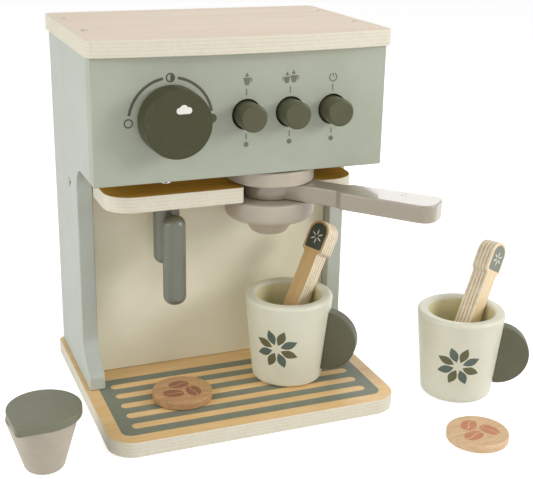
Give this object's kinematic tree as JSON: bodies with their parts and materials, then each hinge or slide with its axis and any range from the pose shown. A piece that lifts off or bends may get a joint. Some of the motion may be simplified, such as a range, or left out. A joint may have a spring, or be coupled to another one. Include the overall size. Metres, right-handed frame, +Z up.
{
  "type": "toy espresso machine set",
  "caption": "Wooden toy espresso machine with turning dial, push buttons, swinging steam wand and portafilter, with cups, stirrers, coffee pads and a capsule.",
  "frame": {"origin": "centre of the underside of the machine's base board, where it stands on the table", "axes": "+X to the machine's right as seen from the front, +Y towards its back, +Z up; the front faces -Y"},
  "size_m": [0.4096, 0.2779, 0.288],
  "materials": {
    "birch_plywood": "clear-lacquered birch plywood",
    "birch_solid": "plain sanded hardwood dowel",
    "brown_wood": "clear-lacquered brown wood",
    "sage_paint": "satin sage green paint on wood board",
    "cream_paint": "satin cream paint on wood board",
    "ivory_paint": "satin ivory paint on turned wood",
    "olive_paint": "satin dark olive paint on wood",
    "grey_green_paint": "satin grey-green paint on wood",
    "taupe_paint": "satin taupe paint on wood",
    "zinc_steel": "zinc-plated steel",
    "grey_felt": "thin grey felt"
  },
  "bodies": {
    "machine": {"base_board": "birch_plywood", "left_side_panel": "sage_paint", "right_side_panel": "sage_paint", "control_panel": "sage_paint", "back_wall": "cream_paint", "shelf": "birch_plywood", "top_board": "birch_plywood", "top_screw_left_front": "zinc_steel", "top_screw_left_back": "zinc_steel", "top_screw_right_front": "zinc_steel", "top_screw_right_back": "zinc_steel", "shelf_screw_left": "zinc_steel", "shelf_screw_right": "zinc_steel", "base_screw_left_front": "zinc_steel", "base_screw_left_back": "zinc_steel", "base_screw_right_front": "zinc_steel", "base_screw_right_back": "zinc_steel", "wall_screw_left": "zinc_steel", "wall_screw_right": "zinc_steel", "panel_dowel_left_lower": "birch_solid", "panel_dowel_left_upper": "birch_solid", "panel_dowel_right_lower": "birch_solid", "panel_dowel_right_upper": "birch_solid", "dial_felt": "grey_felt", "button_spring_1": "zinc_steel", "button_spring_2": "zinc_steel", "button_spring_3": "zinc_steel", "button_guide_board": "birch_plywood", "guide_dowel_1": "birch_solid", "guide_dowel_2": "birch_solid", "wand_post": "grey_green_paint", "wand_pin": "zinc_steel", "wand_spacer": "zinc_steel", "wand_screw": "zinc_steel"},
    "dial_unit": {"dial": "olive_paint", "dial_axle": "birch_solid", "dial_collar": "birch_solid", "dial_screw": "zinc_steel"},
    "left_button": {"button_1": "olive_paint"},
    "middle_button": {"button_2": "olive_paint"},
    "right_button": {"button_3": "olive_paint"},
    "portafilter_slider": {"filter_dowel": "birch_solid"},
    "portafilter": {"filter_disc": "taupe_paint", "portafilter_handle": "taupe_paint", "filter_funnel": "taupe_paint"},
    "wand": {"steam_wand": "grey_green_paint"},
    "left_cup_unit": {"left_cup": "ivory_paint", "left_cup_handle": "olive_paint"},
    "left_stirrer_unit": {"left_stirrer": "birch_plywood"},
    "right_cup_unit": {"right_cup": "ivory_paint", "right_cup_handle": "olive_paint"},
    "right_stirrer_unit": {"right_stirrer": "birch_plywood"},
    "left_pad_unit": {"left_coffee_pad": "brown_wood"},
    "right_pad_unit": {"right_coffee_pad": "brown_wood"},
    "capsule": {"capsule_body": "taupe_paint", "capsule_lid": "grey_green_paint", "capsule_dowel": "birch_solid"}
  },
  "joints": [
    {"name": "dial_turn", "type": "hinge", "parent": "machine", "child": "dial_unit", "pos_m": [-0.0542, -0.0513, 0.2313], "axis": [0, -1, 0], "continuous": true},
    {"name": "left_button_press", "type": "slide", "parent": "machine", "child": "left_button", "axis": [0, 1, 0], "range_m": [0, 0.005], "stiffness_N_per_m": 200, "springref_m": -0.005, "deforming": ["button_spring_1"]},
    {"name": "middle_button_press", "type": "slide", "parent": "machine", "child": "middle_button", "axis": [0, 1, 0], "range_m": [0, 0.005], "stiffness_N_per_m": 200, "springref_m": -0.005, "deforming": ["button_spring_2"]},
    {"name": "right_button_press", "type": "slide", "parent": "machine", "child": "right_button", "axis": [0, 1, 0], "range_m": [0, 0.005], "stiffness_N_per_m": 200, "springref_m": -0.005, "deforming": ["button_spring_3"]},
    {"name": "portafilter_pull_out", "type": "slide", "parent": "machine", "child": "portafilter_slider", "axis": [0, -1, 0], "range_m": [0, 0.095]},
    {"name": "portafilter_turn", "type": "hinge", "parent": "portafilter_slider", "child": "portafilter", "pos_m": [0.033, -0.0185, 0.168], "axis": [0, 0, 1], "range_deg": [-76, 0]},
    {"name": "wand_swing", "type": "hinge", "parent": "machine", "child": "wand", "pos_m": [-0.0464, -0.0282, 0.132], "axis": [0, 1, 0], "range_deg": [-75, 75]},
    {"name": "left_cup_slide_out", "type": "slide", "parent": "machine", "child": "left_cup_unit", "axis": [0, -1, 0], "range_m": [0, 0.1]},
    {"name": "left_stirrer_pull", "type": "slide", "parent": "left_cup_unit", "child": "left_stirrer_unit", "axis": [0.4258, 0.1334, 0.8949], "range_m": [0, 0.025]},
    {"name": "right_cup_lift", "type": "slide", "parent": "machine", "child": "right_cup_unit", "axis": [0, 0, 1], "range_m": [0, 0.1]},
    {"name": "right_stirrer_pull", "type": "slide", "parent": "right_cup_unit", "child": "right_stirrer_unit", "axis": [0.4369, 0.2102, 0.8746], "range_m": [0, 0.09]},
    {"name": "left_pad_lift", "type": "slide", "parent": "machine", "child": "left_pad_unit", "axis": [0, 0, 1], "range_m": [0, 0.05]},
    {"name": "right_pad_lift", "type": "slide", "parent": "machine", "child": "right_pad_unit", "axis": [0, 0, 1], "range_m": [0, 0.06]},
    {"name": "capsule_lift", "type": "slide", "parent": "machine", "child": "capsule", "axis": [0, 0, 1], "range_m": [0, 0.08]}
  ]
}
